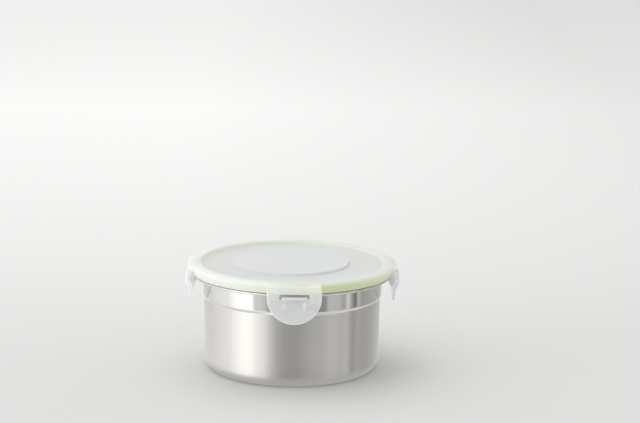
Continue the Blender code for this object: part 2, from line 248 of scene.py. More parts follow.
def product(tree, *rows):
    """The product of factors, each of which goes from 0 to 1 over the range of a value.

    A row has the value, the ends of its range and, where they aren't 0 and 1, the factors at these ends.
    """
    factor = None
    for value, start, end, *ends in rows:
        first, last = ends or (0.0, 1.0)
        row = {"Value": value, "From Min": start, "From Max": end, "To Min": first, "To Max": last}
        share = add_node(tree, "ShaderNodeMapRange", row)
        if factor is not None:
            share = add_node(tree, "ShaderNodeMath", {0: factor, 1: share}, operation="MULTIPLY")
        factor = share
    return factor


def window(value, rise, fall):
    """Two rows for product, whose factor goes from 0 to 1 over one range and back to 0 over another."""
    return (value, *rise), (value, *fall, 1.0, 0.0)


def stainless_steel():
    """Drawn stainless sheet: the wall is satin, brushed round the bowl, and the band above is polished.

    The eye sees soft upright stripes of the room on the wall, blurred most along the height,
    a sharper mirror on the band, and very fine lines that run round the bowl.
    """
    if "drawn_stainless_steel" in bpy.data.materials:
        return bpy.data.materials["drawn_stainless_steel"]
    bowl = bpy.context.scene.container_bowl
    material, tree, place = new_material("drawn_stainless_steel")
    height = add_node(tree, "ShaderNodeSeparateXYZ", {"Vector": place}).outputs["Z"]
    # Brush lines are about 0.05 mm apart. They are drawn 0.5 mm apart so that they show in a render
    line_spacing = 0.5 * MM
    line_length = 40 * MM
    scale = (1 / line_length, 1 / line_length, 1 / line_spacing)
    stretched = add_node(tree, "ShaderNodeMapping", {"Vector": place, "Scale": scale})
    lines = add_node(tree, "ShaderNodeTexNoise", {"Vector": stretched, "Scale": 1.0, "Detail": 3.0})
    satin, polished = 0.34, 0.12
    roughness = product(
        tree,
        (height, bowl.step_bottom - 0.4 * MM, bowl.step_bottom + 0.8 * MM, satin, polished),
        (lines, 0.3, 0.7, 0.975, 1.025),
    )
    bump = add_node(tree, "ShaderNodeBump", {"Height": lines, "Strength": 0.001, "Distance": 0.1 * MM})
    round_the_bowl = add_node(tree, "ShaderNodeTangent", direction_type="RADIAL", axis="Z")
    shader = add_node(
        tree,
        "ShaderNodeBsdfPrincipled",
        {
            "Base Color": (*bpy.context.scene.container_finishes.steel, 1),
            "Metallic": 1.0,
            "Roughness": roughness,
            "Anisotropic": 0.9,
            "Anisotropic Rotation": 0.25,
            "Tangent": round_the_bowl,
            "Normal": bump,
        },
    )
    add_node(tree, "ShaderNodeOutputMaterial", {"Surface": shader})
    return material


def frosted_polypropylene():
    """Injection-moulded natural polypropylene with a matt texture.

    The eye sees a milky sheet with a soft sheen. What lies close behind it, such as the seal, tints it.
    Painted light and shade are mixed into that tint and into the share of light that passes.
    """
    if "moulded_polypropylene" in bpy.data.materials:
        return bpy.data.materials["moulded_polypropylene"]
    finishes = bpy.context.scene.container_finishes
    material, tree, place = new_material("moulded_polypropylene")
    # Spark-eroded texture of the mould, with grains about 0.15 mm across drawn at 0.4 mm
    grain_size = 0.4 * MM
    grain = add_node(tree, "ShaderNodeTexNoise", {"Vector": place, "Scale": 1 / grain_size, "Detail": 2.0})
    bump = add_node(tree, "ShaderNodeBump", {"Height": grain, "Strength": 0.08, "Distance": 0.05 * MM})
    # Flow of the melt makes its sheen a little uneven, over about 25 mm
    flow_size = 25 * MM
    flow = add_node(tree, "ShaderNodeTexNoise", {"Vector": place, "Scale": 1 / flow_size, "Detail": 2.0})
    roughness = product(tree, (flow, 0.3, 0.7, 0.32, 0.4))
    parts = add_node(tree, "ShaderNodeSeparateXYZ", {"Vector": place})
    plan = add_node(tree, "ShaderNodeCombineXYZ", {"X": parts.outputs["X"], "Y": parts.outputs["Y"]})
    across = add_node(tree, "ShaderNodeVectorMath", {0: plan}, operation="LENGTH").outputs["Value"]
    tinted = add_node(
        tree,
        "ShaderNodeMix",
        {0: seal_tint_and_painted_shade(tree, parts, across), 6: (*finishes.plastic, 1), 7: (*finishes.rim, 1)},
        data_type="RGBA",
    )
    shade = tinted.outputs[2]
    shader = add_node(
        tree,
        "ShaderNodeBsdfPrincipled",
        {"Base Color": shade, "Roughness": roughness, "IOR": 1.49, "Normal": bump},
    )
    through = add_node(tree, "ShaderNodeBsdfTranslucent", {"Color": shade, "Normal": bump})
    # Painted light and shade: this share also lightens and darkens parts of the lid and flaps, as light and
    # shade would
    passing_and_painted_light = light_passed_and_painted_light(tree, parts, across)
    milky = add_node(tree, "ShaderNodeMixShader", {"Fac": passing_and_painted_light, 1: shader, 2: through})
    add_node(tree, "ShaderNodeOutputMaterial", {"Surface": milky})
    return material


def upper_side(lid, height):
    """A row for product that leaves out what lies under the lid's panel."""
    return height, lid.panel_top - 0.2 * MM, lid.panel_top


def inner_slope(lid, across, height):
    """Rows for product that keep the slope from the lid's panel up to its lip."""
    soft = 1.0 * MM
    rise = (lid.panel_radius, lid.panel_radius + soft)
    fall = (lid.lip_radius - soft, lid.lip_radius)
    return *window(across, rise, fall), upper_side(lid, height)


def past_the_ears(lid, across):
    """A row for product that keeps what stands out past the ears, which is the upper part of a flap."""
    return across, lid.rim_radius + 0.1 * MM, lid.ear_edge + 0.3 * MM


def seal_tint_and_painted_shade(tree, parts, across):
    """How much the seal shows through the lid.

    It shows faintly on the panel, up the inner slope and down the skirt. Its change from left to right is
    painted shade: on the inner slope it is strong on the left, where the slope faces away from the light,
    and faint on the right; on the skirt it is faint on the lit left and strongest towards the shaded right.
    """
    lid = bpy.context.scene.container_lid
    latch = bpy.context.scene.container_latch
    height = parts.outputs["Z"]
    to_right = parts.outputs["X"]
    panel = (
        (across, lid.disc_radius, lid.disc_radius + lid.softness, 0.0, 0.05),
        (across, lid.panel_radius, lid.panel_radius + 1.0 * MM, 1.0, 0.0),
        upper_side(lid, height),
    )
    # Painted shade: on the inner slope the tint is made strong on the left, where the slope faces away from
    # the light, and faint on the right
    slope = (*inner_slope(lid, across, height), (to_right, 0.0, lid.radius * 2 / 3, 0.3, 0.045))
    on_flap = product(
        tree, past_the_ears(lid, across), (height, latch.top - 0.3 * MM, latch.top, 1.0, 0.65)
    )
    skirt = (
        (height, lid.lip_top - 0.6 * MM, lid.rim_height - 1.5 * MM),
        (height, lid.edge - 0.4 * MM, lid.edge + 1.0 * MM),
        (across, lid.lip_radius, lid.lip_radius + 0.5 * MM),
        (on_flap, 0.0, 1.0, 1.0, 0.15),
        # Painted shade: on the skirt the tint is made faint on the lit left, strongest towards the shaded
        # right and a little weaker at the far right
        (to_right, -0.45 * lid.radius, 0.5 * lid.radius, 0.15, 1.3),
        (to_right, 0.55 * lid.radius, 0.95 * lid.radius, 1.0, 0.45),
    )
    tint = product(tree, *panel)
    for rows in (slope, skirt):
        tint = add_node(tree, "ShaderNodeMath", {0: tint, 1: product(tree, *rows)}, operation="ADD")
    return tint


def light_passed_and_painted_light(tree, parts, across):
    """How much of the light from behind comes through the milky plastic, spread by it.

    A flap's outer face passes most, the ribs behind a flap pass twice as much as the lid, and less comes
    through where a gusset stands behind a flap. Where little light lies behind, less passing shows lighter
    and more shows darker, and several zones use this for painted light and shade: a painted highlight
    along the flap's edge, painted light at its upper end, painted shade at the edge of the disc, at the
    ears' ends, on the right inner slope and a little towards the flap's lower end, and painted light
    inside the side flaps, which pass more there so that the light on their outer faces shows through.
    """
    lid = bpy.context.scene.container_lid
    latch = bpy.context.scene.container_latch
    height = parts.outputs["Z"]
    sideways = {}
    for key, axis in enumerate(("X", "Y")):
        sideways[key] = add_node(tree, "ShaderNodeMath", {0: parts.outputs[axis]}, operation="ABSOLUTE")
    from_middle = add_node(tree, "ShaderNodeMath", sideways, operation="MINIMUM")
    outward = add_node(tree, "ShaderNodeMath", sideways, operation="MAXIMUM")
    half = latch.thickness / 2
    flap_middle = product(
        tree, (height, latch.bend_bottom, latch.bend_top, latch.tab_outside - half, latch.outside - half)
    )
    past_middle = add_node(tree, "ShaderNodeMath", {0: outward, 1: flap_middle}, operation="SUBTRACT")
    outer_face = product(tree, (past_middle, -0.2 * MM, 0.2 * MM))
    behind_flap = (past_middle, -latch.thickness, -0.6 * latch.thickness)
    flap = product(tree, behind_flap)
    ribs = (
        (*behind_flap, 1.0, 0.0),
        (height, lid.edge - 0.6 * MM, lid.edge - 0.2 * MM, 1.0, 0.0),
        (across, lid.plug_radius + 1.0 * MM, lid.plug_radius + 2.0 * MM),
    )
    gusset_sides = [latch.gusset_offset + step * latch.gusset_thickness for step in (-1, 0, 1)]
    gusset = (
        *window(from_middle, gusset_sides[:2], gusset_sides[1:]),
        (height, latch.gusset_bottom, latch.gusset_bottom + 3.0 * MM),
        (height, latch.hook_top - 3.0 * MM, latch.hook_top - 1.0 * MM, 1.0, 0.0),
    )
    below = add_node(tree, "ShaderNodeMath", {0: height, 1: latch.round_centre}, operation="SUBTRACT")
    drop = add_node(tree, "ShaderNodeMath", {0: below, 1: 0.0}, operation="MINIMUM")
    face = add_node(tree, "ShaderNodeCombineXYZ", {"X": from_middle, "Y": drop})
    to_edge = add_node(tree, "ShaderNodeVectorMath", {0: face}, operation="LENGTH").outputs["Value"]
    # Painted highlight: less passes along the flap's rounded edge, so that the edge shows lighter
    flap_edge_painted_highlight = (
        (to_edge, latch.half_width - 0.8 * MM, latch.half_width - 0.2 * MM),
        (flap, 0.0, 1.0),
        (height, latch.top - 2.0 * MM, latch.top - 1.0 * MM, 1.0, 0.0),
    )
    # Painted light: less passes at the flap's upper end, so that it shows lighter, as lit from above
    flap_top_painted_light = (
        past_the_ears(lid, across),
        (height, latch.slot_top - 0.5 * MM, latch.slot_top + 1.5 * MM),
    )
    # Painted shade: more passes at the disc's rounded edge, so that it shows darker, as a shaded slope
    disc_edge = (
        (across, lid.disc_radius - lid.softness, lid.disc_radius - lid.softness / 2),
        (across, lid.disc_radius + lid.softness / 2, lid.disc_radius + lid.softness, 1.0, 0.0),
        upper_side(lid, height),
    )
    # Painted light: the side flaps pass more on their inner faces, so that the light on their outer faces
    # shows through brightly
    side_inside_painted_light = (
        (sideways[0], lid.radius / 2, lid.radius),
        (flap, 0.0, 1.0),
        (outer_face, 0.0, 1.0, 1.0, 0.0),
    )
    # Painted shade: more passes on the inner slope's right, where the light from the left falls, so that it
    # shows darker
    right_slope_painted_shade = (*inner_slope(lid, across, height), (parts.outputs["X"], 0.0, lid.radius / 2))
    # Painted shade: more passes at the ears' ends, where the light from the left falls, so that they show
    # darker
    ear_end = lid.ear_half_width
    ear_ends_painted_shade = (
        *window(from_middle, (ear_end - 1.0 * MM, ear_end), (ear_end + 2.0 * MM, ear_end + 3.0 * MM)),
        (height, lid.ear_bottom - 0.4 * MM, lid.ear_bottom),
        (outward, lid.radius - 0.5 * MM, lid.radius),
    )
    # Painted light and shade in this table: the rows for the right inner slope, the ears' ends and the
    # disc's edge darken; those for the flap's upper end and edge lighten, the edge as a painted highlight;
    # the one inside the side flaps makes them look lit through
    factors = (
        (ribs, 2.0),
        (right_slope_painted_shade, 1.25),
        (side_inside_painted_light, 1.7),
        (ear_ends_painted_shade, 1.7),
        (flap_top_painted_light, 0.6),
        (disc_edge, 1.28),
        (gusset, 0.2),
        (flap_edge_painted_highlight, 0.1),
    )
    return product(
        tree,
        (flap, 0.0, 1.0, 0.42, 0.44),
        (outer_face, 0.0, 1.0, 1.0, 2.1),
        # Painted shade: a little more passes towards the flap's lower end, so that it shows a little darker
        (height, latch.round_centre - latch.half_width, latch.bend_top, 1.03, 1.0),
        *((product(tree, *rows), 0.0, 1.0, 1.0, factor) for rows, factor in factors),
    )


def green_silicone():
    """Moulded silicone rubber, in which the eye sees a dull, dusty surface."""
    if "silicone_rubber" in bpy.data.materials:
        return bpy.data.materials["silicone_rubber"]
    material, tree, place = new_material("silicone_rubber")
    # Blasted texture of the mould, with grains about 0.1 mm across drawn at 0.5 mm
    grain_size = 0.5 * MM
    grain = add_node(tree, "ShaderNodeTexNoise", {"Vector": place, "Scale": 1 / grain_size, "Detail": 2.0})
    bump = add_node(tree, "ShaderNodeBump", {"Height": grain, "Strength": 0.1, "Distance": 0.05 * MM})
    shader = add_node(
        tree,
        "ShaderNodeBsdfPrincipled",
        {
            "Base Color": (*bpy.context.scene.container_finishes.silicone, 1),
            "Roughness": product(tree, (grain, 0.3, 0.7, 0.45, 0.6)),
            "IOR": 1.41,
            "Normal": bump,
        },
    )
    add_node(tree, "ShaderNodeOutputMaterial", {"Surface": shader})
    return material


def new_geometry_tree(name, inputs):
    """A Geometry Nodes tree with named inputs of several kinds. Returns it with the inputs' sockets."""
    tree = bpy.data.node_groups.new(name, "GeometryNodeTree")
    for socket_name, kind in inputs.items():
        tree.interface.new_socket(socket_name, in_out="INPUT", socket_type="NodeSocket" + kind)
    tree.interface.new_socket("Geometry", in_out="OUTPUT", socket_type="NodeSocketGeometry")
    return tree, add_node(tree, "NodeGroupInput").outputs


def end_geometry_tree(tree, shape, material):
    """Makes the shape real and gives it its material."""
    realized = add_node(tree, "GeometryNodeRealizeInstances", {"Geometry": shape})
    painted = add_node(tree, "GeometryNodeSetMaterial", {"Geometry": realized, "Material": material})
    add_node(tree, "NodeGroupOutput", {"Geometry": painted})
    return tree


def turned_section_tree():
    """Sweeps a section, drawn as radius and height, round the upright axis."""
    if "turned_section" in bpy.data.node_groups:
        return bpy.data.node_groups["turned_section"]
    inputs = {"Section": "Geometry", "Steps": "Int", "Path radius": "Float", "Material": "Material"}
    tree, given = new_geometry_tree("turned_section", inputs)
    inwards = add_node(tree, "ShaderNodeMath", {0: given["Path radius"], 1: -1.0}, operation="MULTIPLY")
    to_path = add_node(tree, "ShaderNodeCombineXYZ", {"X": inwards})
    outline = add_node(tree, "GeometryNodeMeshToCurve", {"Mesh": given["Section"]})
    # Curve to Mesh reads a section in the XY plane, so the height turns from Z to Y
    upright = add_node(
        tree,
        "GeometryNodeTransform",
        {"Geometry": outline, "Translation": to_path, "Rotation": (math.radians(90), 0, 0)},
    )
    path = add_node(
        tree,
        "GeometryNodeCurvePrimitiveCircle",
        {"Resolution": given["Steps"], "Radius": given["Path radius"]},
    )
    swept = add_node(tree, "GeometryNodeCurveToMesh", {"Curve": path, "Profile Curve": upright})
    closed = add_node(tree, "GeometryNodeMergeByDistance", {"Geometry": swept, "Distance": WELD})
    return end_geometry_tree(tree, closed, given["Material"])


def round_the_lid_tree():
    """Turns a piece that faces +X round the upright axis to one of several sides."""
    if "round_the_lid" in bpy.data.node_groups:
        return bpy.data.node_groups["round_the_lid"]
    inputs = {"Piece": "Geometry", "Count": "Int", "Side": "Int", "Material": "Material"}
    tree, given = new_geometry_tree("round_the_lid", inputs)
    index = add_node(tree, "GeometryNodeInputIndex")
    this_side = add_node(
        tree, "FunctionNodeCompare", {2: index, 3: given["Side"]}, data_type="INT", operation="EQUAL"
    )
    share = add_node(tree, "ShaderNodeMath", {0: index, 1: given["Count"]}, operation="DIVIDE")
    angle = add_node(tree, "ShaderNodeMath", {0: share, 1: math.tau}, operation="MULTIPLY")
    turn = add_node(tree, "ShaderNodeCombineXYZ", {"Z": angle})
    rotation = add_node(tree, "FunctionNodeEulerToRotation", {"Euler": turn})
    centre = add_node(tree, "GeometryNodePoints", {"Count": given["Count"]})
    placed = add_node(
        tree,
        "GeometryNodeInstanceOnPoints",
        {"Points": centre, "Selection": this_side, "Instance": given["Piece"], "Rotation": rotation},
    )
    return end_geometry_tree(tree, placed, given["Material"])


def new_object(name, mesh):
    obj = bpy.data.objects.new(name, mesh)
    bpy.context.scene.collection.objects.link(obj)
    return obj


def plain_mesh(obj):
    """The object's evaluated shape as a mesh of its own. The object itself is removed."""
    graph = bpy.context.evaluated_depsgraph_get()
    mesh = bpy.data.meshes.new_from_object(obj.evaluated_get(graph), depsgraph=graph)
    bpy.data.objects.remove(obj, do_unlink=True)
    return mesh


def grown(mesh, tree, values):
    """The mesh that a Geometry Nodes tree makes of another mesh. Values are by the inputs' names."""
    obj = new_object("blank", mesh)
    modifier = obj.modifiers.new(tree.name, "NODES")
    modifier.node_group = tree
    sockets = {item.name: item.identifier for item in tree.interface.items_tree if item.in_out == "INPUT"}
    for name, value in values.items():
        modifier[sockets[name]] = value
    return plain_mesh(obj)


def turned(section, material):
    """A closed section, or one that starts and ends on the axis, turned into a solid."""
    mesh = bpy.data.meshes.new("section")
    points = [(radius, 0, height) for radius, height in section]
    edges = [(i, i + 1) for i in range(len(points) - 1)]
    if points[0][0] > WELD:
        edges.append((len(points) - 1, 0))
    mesh.from_pydata(points, edges, [])
    steps = bpy.context.scene.container_finishes.steps
    path_radius = max(radius for radius, _ in section)
    values = {"Steps": steps, "Path radius": path_radius, "Material": material}
    return facing_out(grown(mesh, turned_section_tree(), values))


def on_side(mesh, side, material):
    """A copy of a mesh that faces +X, turned to one side of the lid."""
    values = {"Count": len(SIDES), "Side": side, "Material": material}
    return grown(mesh.copy(), round_the_lid_tree(), values)


def facing_out(mesh):
    solid = bmesh.new()
    solid.from_mesh(mesh)
    bmesh.ops.remove_doubles(solid, verts=solid.verts, dist=WELD)
    bmesh.ops.recalc_face_normals(solid, faces=solid.faces)
    solid.to_mesh(mesh)
    solid.free()
    return mesh


def joined(mesh, others):
    """One closed body made of a mesh and the ones that overlap it."""
    base = new_object("base", mesh)
    helpers = []
    for other in others:
        helpers.append(new_object("helper", other))
        union = base.modifiers.new("union", "BOOLEAN")
        union.operation = "UNION"
        union.solver = "EXACT"
        union.object = helpers[-1]
    result = plain_mesh(base)
    for helper in helpers:
        bpy.data.objects.remove(helper, do_unlink=True)
    return result


def smooth(mesh):
    """Smooth shading in which the large flat faces keep their own direction."""
    mesh.shade_smooth()
    mesh.set_sharp_from_angle(angle=SHARP_EDGE)
    obj = new_object("shaded", mesh)
    weighted = obj.modifiers.new("weighted", "WEIGHTED_NORMAL")
    weighted.keep_sharp = True
    return plain_mesh(obj)


def finished(name, mesh, material, node):
    """The finished piece, which stands for a solid of the frame."""
    mesh.name = name
    mesh.materials.clear()
    mesh.materials.append(material)
    piece = new_object(name, mesh)
    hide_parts(node)
    return piece


def arc(centre, radius, start, end, count):
    """Points on a circle from start to end degrees, both ends included."""
    angles = [math.radians(start + (end - start) * i / count) for i in range(count + 1)]
    return [(centre[0] + radius * math.cos(a), centre[1] + radius * math.sin(a)) for a in angles]


def curve_between(start, handle, end_handle, end, count):
    """Points on a Bezier curve in the plane of a section, both ends included."""
    flat = [Vector((x, z, 0)) for x, z in (start, handle, end_handle, end)]
    return [(point.x, point.y) for point in interpolate_bezier(*flat, count + 1)]


def rounded(corners, radius, count=4):
    """A closed outline with each corner rounded."""
    points = []
    for i, corner in enumerate(corners):
        here = Vector(corner)
        before = (Vector(corners[i - 1]) - here).normalized()
        after = (Vector(corners[(i + 1) % len(corners)]) - here).normalized()
        reach = radius / math.tan(before.angle(after) / 2)
        start, end = here + before * reach, here + after * reach
        for step in range(count + 1):
            t = step / count
            points.append(tuple(start * (1 - t) ** 2 + here * 2 * t * (1 - t) + end * t * t))
    return points


def plate(outlines, half_thickness, rounding):
    """Flat outlines, holes included, filled and given a thickness with rounded edges.

    The rounding adds to the outline, so the outlines are drawn smaller by it.
    """
    drawing = bpy.data.curves.new("plate", "CURVE")
    drawing.dimensions = "2D"
    drawing.fill_mode = "BOTH"
    drawing.extrude = half_thickness - rounding
    drawing.bevel_depth = rounding
    drawing.bevel_resolution = 3
    for outline in outlines:
        spline = drawing.splines.new("POLY")
        spline.points.add(len(outline) - 1)
        for point, (x, y) in zip(spline.points, outline):
            point.co = (x, y, 0, 1)
        spline.use_cyclic_u = True
    return facing_out(plain_mesh(new_object("plate", drawing)))


# Drawing planes: radius-height swept along the tangent, tangent-height swept along the radius
SIDE_VIEW = Matrix.Rotation(math.radians(90), 4, "X")
FACE_VIEW = Matrix(((0, 0, 1), (1, 0, 0), (0, 1, 0))).to_4x4()


def rib(section, half_length, tangent=0, rounding=0):
    """A section in radius and height, swept along the tangent, with its edges rounded."""
    mesh = plate([section], half_length, rounding)
    mesh.transform(Matrix.Translation((0, tangent, 0)) @ SIDE_VIEW)
    return facing_out(mesh)


def bowl_section(bowl):
    """Up the inside from the middle, round the rolled edge, and down the outside."""
    sheet = bowl.sheet
    corner = (bowl.wall_radius - bowl.taper - bowl.corner, bowl.corner)
    fillet = (bowl.band_radius + bowl.fillet, bowl.flange_top - sheet - bowl.fillet)
    roll = (bowl.flange_radius - bowl.roll, bowl.flange_top - bowl.roll)
    roll_meets_flange = 180 - math.degrees(math.asin((bowl.roll - sheet) / bowl.roll))
    rise = bowl.step_top - bowl.step_bottom
    shoulder = curve_between(
        (bowl.wall_radius, bowl.step_bottom),
        (bowl.wall_radius, bowl.step_bottom + rise / 2),
        (bowl.band_radius, bowl.step_top - rise / 2),
        (bowl.band_radius, bowl.step_top),
        12,
    )
    dish = curve_between(
        (bowl.dish_radius - 1.5 * MM, bowl.dish_height),
        (bowl.dish_radius, bowl.dish_height),
        (bowl.dish_radius, 0),
        (bowl.foot_radius, 0),
        6,
    )
    inside = [(0, bowl.dish_height + sheet)]
    inside += [(radius, height + sheet) for radius, height in dish]
    inside += arc(corner, bowl.corner - sheet, -90, 0, 14)
    inside += [(radius - sheet, height) for radius, height in shoulder]
    inside += arc(fillet, bowl.fillet + sheet, 180, 90, 8)
    edge = arc(roll, bowl.roll, 90, roll_meets_flange - 360, 24)
    outside = arc(fillet, bowl.fillet, 90, 180, 8)
    outside += reversed(shoulder)
    outside += arc(corner, bowl.corner, 0, -90, 16)
    outside += list(reversed(dish)) + [(0, bowl.dish_height)]
    return inside + edge + outside


def lid_top(lid):
    """The lid's upper side from the middle to the top of its lip."""
    soft = lid.softness
    disc_top = lid.panel_top + lid.disc_rise
    disc_edge = curve_between(
        (lid.disc_radius - soft, disc_top),
        (lid.disc_radius, disc_top),
        (lid.disc_radius, lid.panel_top),
        (lid.disc_radius + soft, lid.panel_top),
        10,
    )
    lip = curve_between(
        (lid.panel_radius, lid.panel_top),
        (lid.panel_radius + 2 * soft, lid.panel_top),
        (lid.panel_radius + soft, lid.lip_top),
        (lid.lip_radius, lid.lip_top),
        14,
    )
    return [(0, disc_top)] + disc_edge + lip


def lid_underside(lid):
    """From the skirt's lower edge back under the rim and the panel to the middle."""
    soft = lid.softness
    skirt_top = lid.edge + lid.skirt_end
    skirt_wall = 1.6 * MM
    inner_edge = lid.radius - skirt_wall
    end_rounding = 0.3 * MM
    edge = arc((lid.radius - end_rounding, lid.edge + end_rounding), end_rounding, 0, -90, 4)
    edge += arc((inner_edge + end_rounding, lid.edge + end_rounding), end_rounding, -90, -180, 4)
    roof = lid.lip_top - lid.wall
    channel = curve_between(
        (inner_edge, skirt_top),
        (inner_edge - 0.4 * MM, skirt_top + 1.7 * MM),
        (lid.lip_radius + 0.8 * MM, roof - 0.3 * MM),
        (lid.lip_radius - 0.1 * MM, roof),
        12,
    )
    channel += curve_between(
        (lid.lip_radius - 0.9 * MM, roof - 0.3 * MM),
        (lid.lip_radius - 1.4 * MM, lid.panel_top - 0.9 * MM),
        (lid.plug_radius + 1.4 * MM, lid.panel_top - 1.4 * MM),
        (lid.plug_radius, lid.panel_top - 1.9 * MM),
        8,
    )
    plug_end_radius = lid.wall / 2
    plug_taper = 0.2 * MM
    plug_end = (lid.plug_radius - plug_taper - plug_end_radius, lid.plug_bottom + plug_end_radius)
    plug = arc(plug_end, plug_end_radius, 0, -180, 10)
    plug_inside = lid.plug_radius - lid.wall
    underside = lid.panel_top - lid.wall
    fillet = 1.0 * MM
    below = arc((plug_inside - fillet, underside - fillet), fillet, 0, 90, 6)
    below += [(lid.disc_radius + soft, underside), (lid.disc_radius - soft, underside + lid.disc_rise)]
    return edge + channel + plug + below + [(0, underside + lid.disc_rise)]


def plain_skirt(lid):
    """The rim and skirt between two ears, with as many points as eared_skirt."""
    rim = curve_between(
        (lid.lip_radius, lid.lip_top),
        (lid.lip_radius + 3.0 * MM, lid.lip_top),
        (lid.rim_radius, lid.rim_height + 2.0 * MM),
        (lid.rim_radius, lid.rim_height),
        14,
    )
    skirt = curve_between(
        (lid.rim_radius, lid.rim_height),
        (lid.rim_radius, lid.rim_height - 1.5 * MM),
        (lid.radius + 0.3 * MM, lid.edge + lid.skirt_end + 1.2 * MM),
        (lid.radius, lid.edge + lid.skirt_end),
        13,
    )
    return rim[1:] + skirt[1:]


def eared_skirt(lid, reach):
    """The skirt through an ear that ends at a radius: out over the ear, back under it, and down."""
    upper = 0.4 * MM
    lower = 0.3 * MM
    slope = curve_between(
        (lid.lip_radius, lid.lip_top),
        (lid.lip_radius + 3.0 * MM, lid.lip_top),
        (reach - 0.9 * MM, lid.ear_top + 1.3 * MM),
        (reach - upper, lid.ear_top),
        10,
    )
    edge = arc((reach - upper, lid.ear_top - upper), upper, 60, 0, 2)
    edge += arc((reach - lower, lid.ear_bottom + lower), lower, 0, -90, 3)
    back = curve_between(
        (reach - 0.6 * MM, lid.ear_bottom),
        (lid.rim_radius - 0.4 * MM, lid.ear_bottom - 0.6 * MM),
        (lid.radius + 0.3 * MM, lid.edge + lid.skirt_end + 1.2 * MM),
        (lid.radius, lid.edge + lid.skirt_end),
        9,
    )
    return slope[1:] + edge + back


def ear_share(lid, tangent):
    """How much of an ear there is at a distance from its middle: all of it, then less down its flank."""
    along = min(max((abs(tangent) - lid.ear_half_width) / lid.ear_flank, 0), 1)
    return 1 - along * along * (3 - 2 * along)


def lid_angles(lid):
    """Directions of the lid's sections, close together where an ear's flank curves."""
    ear_steps, flank_steps, plain_steps = 6, 14, 12
    flank_end = lid.ear_half_width + lid.ear_flank
    tangents = [lid.ear_half_width * i / ear_steps for i in range(ear_steps)]
    tangents += [lid.ear_half_width + lid.ear_flank * i / flank_steps for i in range(flank_steps)]
    eighth = [math.atan2(tangent, lid.ear_edge) for tangent in tangents]
    start = math.atan2(flank_end, lid.ear_edge)
    eighth += [start + (math.pi / 4 - start) * i / plain_steps for i in range(plain_steps)]
    quarter = eighth + [math.pi / 2 - angle for angle in reversed(eighth[1:])]
    quarter.insert(len(eighth), math.pi / 4)
    return [side * math.pi / 2 + angle for side in range(len(SIDES)) for angle in quarter]


def lid_mesh(lid):
    """One closed solid whose section, from axis to axis, grows an ear at each latch."""
    solid = bmesh.new()
    top = lid_top(lid)
    underside = lid_underside(lid)
    plain = plain_skirt(lid)
    rings = []
    for angle in lid_angles(lid):
        from_ear = (angle + math.pi / 4) % (math.pi / 2) - math.pi / 4
        share = ear_share(lid, lid.ear_edge * math.tan(from_ear))
        eared = eared_skirt(lid, lid.ear_edge / math.cos(from_ear))
        skirt = [Vector(a).lerp(Vector(b), share) for a, b in zip(plain, eared, strict=True)]
        section = top[1:] + skirt + underside[:-1]
        turn = (math.cos(angle), math.sin(angle))
        rings.append([solid.verts.new((r * turn[0], r * turn[1], z)) for r, z in section])
    first = solid.verts.new((0, 0, top[0][1]))
    last = solid.verts.new((0, 0, underside[-1][1]))
    for here, following in zip(rings, rings[1:] + rings[:1]):
        solid.faces.new((first, here[0], following[0]))
        solid.faces.new((last, following[-1], here[-1]))
        for i in range(len(here) - 1):
            solid.faces.new((here[i], here[i + 1], following[i + 1], following[i]))
    mesh = bpy.data.meshes.new("lid")
    solid.to_mesh(mesh)
    solid.free()
    return facing_out(mesh)


def seal_section(lid):
    """A wedge that fills the channel under the rim, with two rounded lips that press on the flange."""
    lip_end = SEAL_LOW[2]
    groove = lip_end + lid.seal_groove
    shoulder = lid.panel_top - 2.2 * MM
    outside = [
        (lid.lip_radius - 0.2 * MM, lid.panel_top - 0.1 * MM),
        (lid.lip_radius + 0.45 * MM, lid.panel_top - 0.6 * MM),
        (lid.lip_radius + 1.3 * MM, lid.panel_top - 1.6 * MM),
        (lid.lip_radius + 2.1 * MM, lid.panel_top - 2.95 * MM),
        (lid.radius - 2.1 * MM, lid.edge + 1.0 * MM),
        (lid.radius - 2.6 * MM, lid.edge + 0.2 * MM),
    ]
    outer_lip = (66.0 * MM, 64.9 * MM)
    inner_lip = (63.5 * MM, 62.0 * MM)
    lips = [(radius, lip_end) for radius in outer_lip]
    lips += [(outer_lip[1] - 0.3 * MM, groove), (inner_lip[0] + 0.2 * MM, groove)]
    lips += [(radius, lip_end) for radius in inner_lip]
    inside = [(lid.plug_radius + 0.45 * MM, lip_end + 0.7 * MM), (lid.plug_radius + 0.4 * MM, shoulder)]
    inside += [(lid.plug_radius + 1.4 * MM, shoulder + 0.3 * MM)]
    inside += [(lid.lip_radius - 1.0 * MM, lid.panel_top - 1.1 * MM)]
    edge_rounding = 0.12 * MM
    return rounded(outside + lips + inside, edge_rounding, 3)


def flap_path(latch):
    """The flap's outer face from its upper end to below its tip, as radius and height."""
    top = curve_between(
        (latch.hinge_radius + latch.web_outside, latch.top),
        (latch.hinge_radius + latch.web_outside + 0.2 * MM, latch.top - 1.5 * MM),
        (latch.outside, latch.top - 2.5 * MM),
        (latch.outside, latch.top - 4.2 * MM),
        8,
    )
    softness = 3.0 * MM
    bend = curve_between(
        (latch.outside, latch.bend_top),
        (latch.outside, latch.bend_top - softness),
        (latch.tab_outside, latch.bend_bottom + softness),
        (latch.tab_outside, latch.bend_bottom),
        16,
    )
    tip = latch.round_centre - latch.half_width
    return top + bend + [(latch.tab_outside, tip - 1.0 * MM)]


def flap_thickness(latch):
    """Height and thickness from the thin upper end to the thinner tip."""
    tip = latch.round_centre - latch.half_width
    full = latch.thickness
    thin_top, thin_tip = 0.7 * MM, 1.2 * MM
    return [
        (latch.top, thin_top),
        (latch.top - 1.5 * MM, full - 0.1 * MM),
        (latch.top - 4.2 * MM, full),
        (latch.bend_bottom, full),
        (tip - 1.0 * MM, thin_tip),
    ]


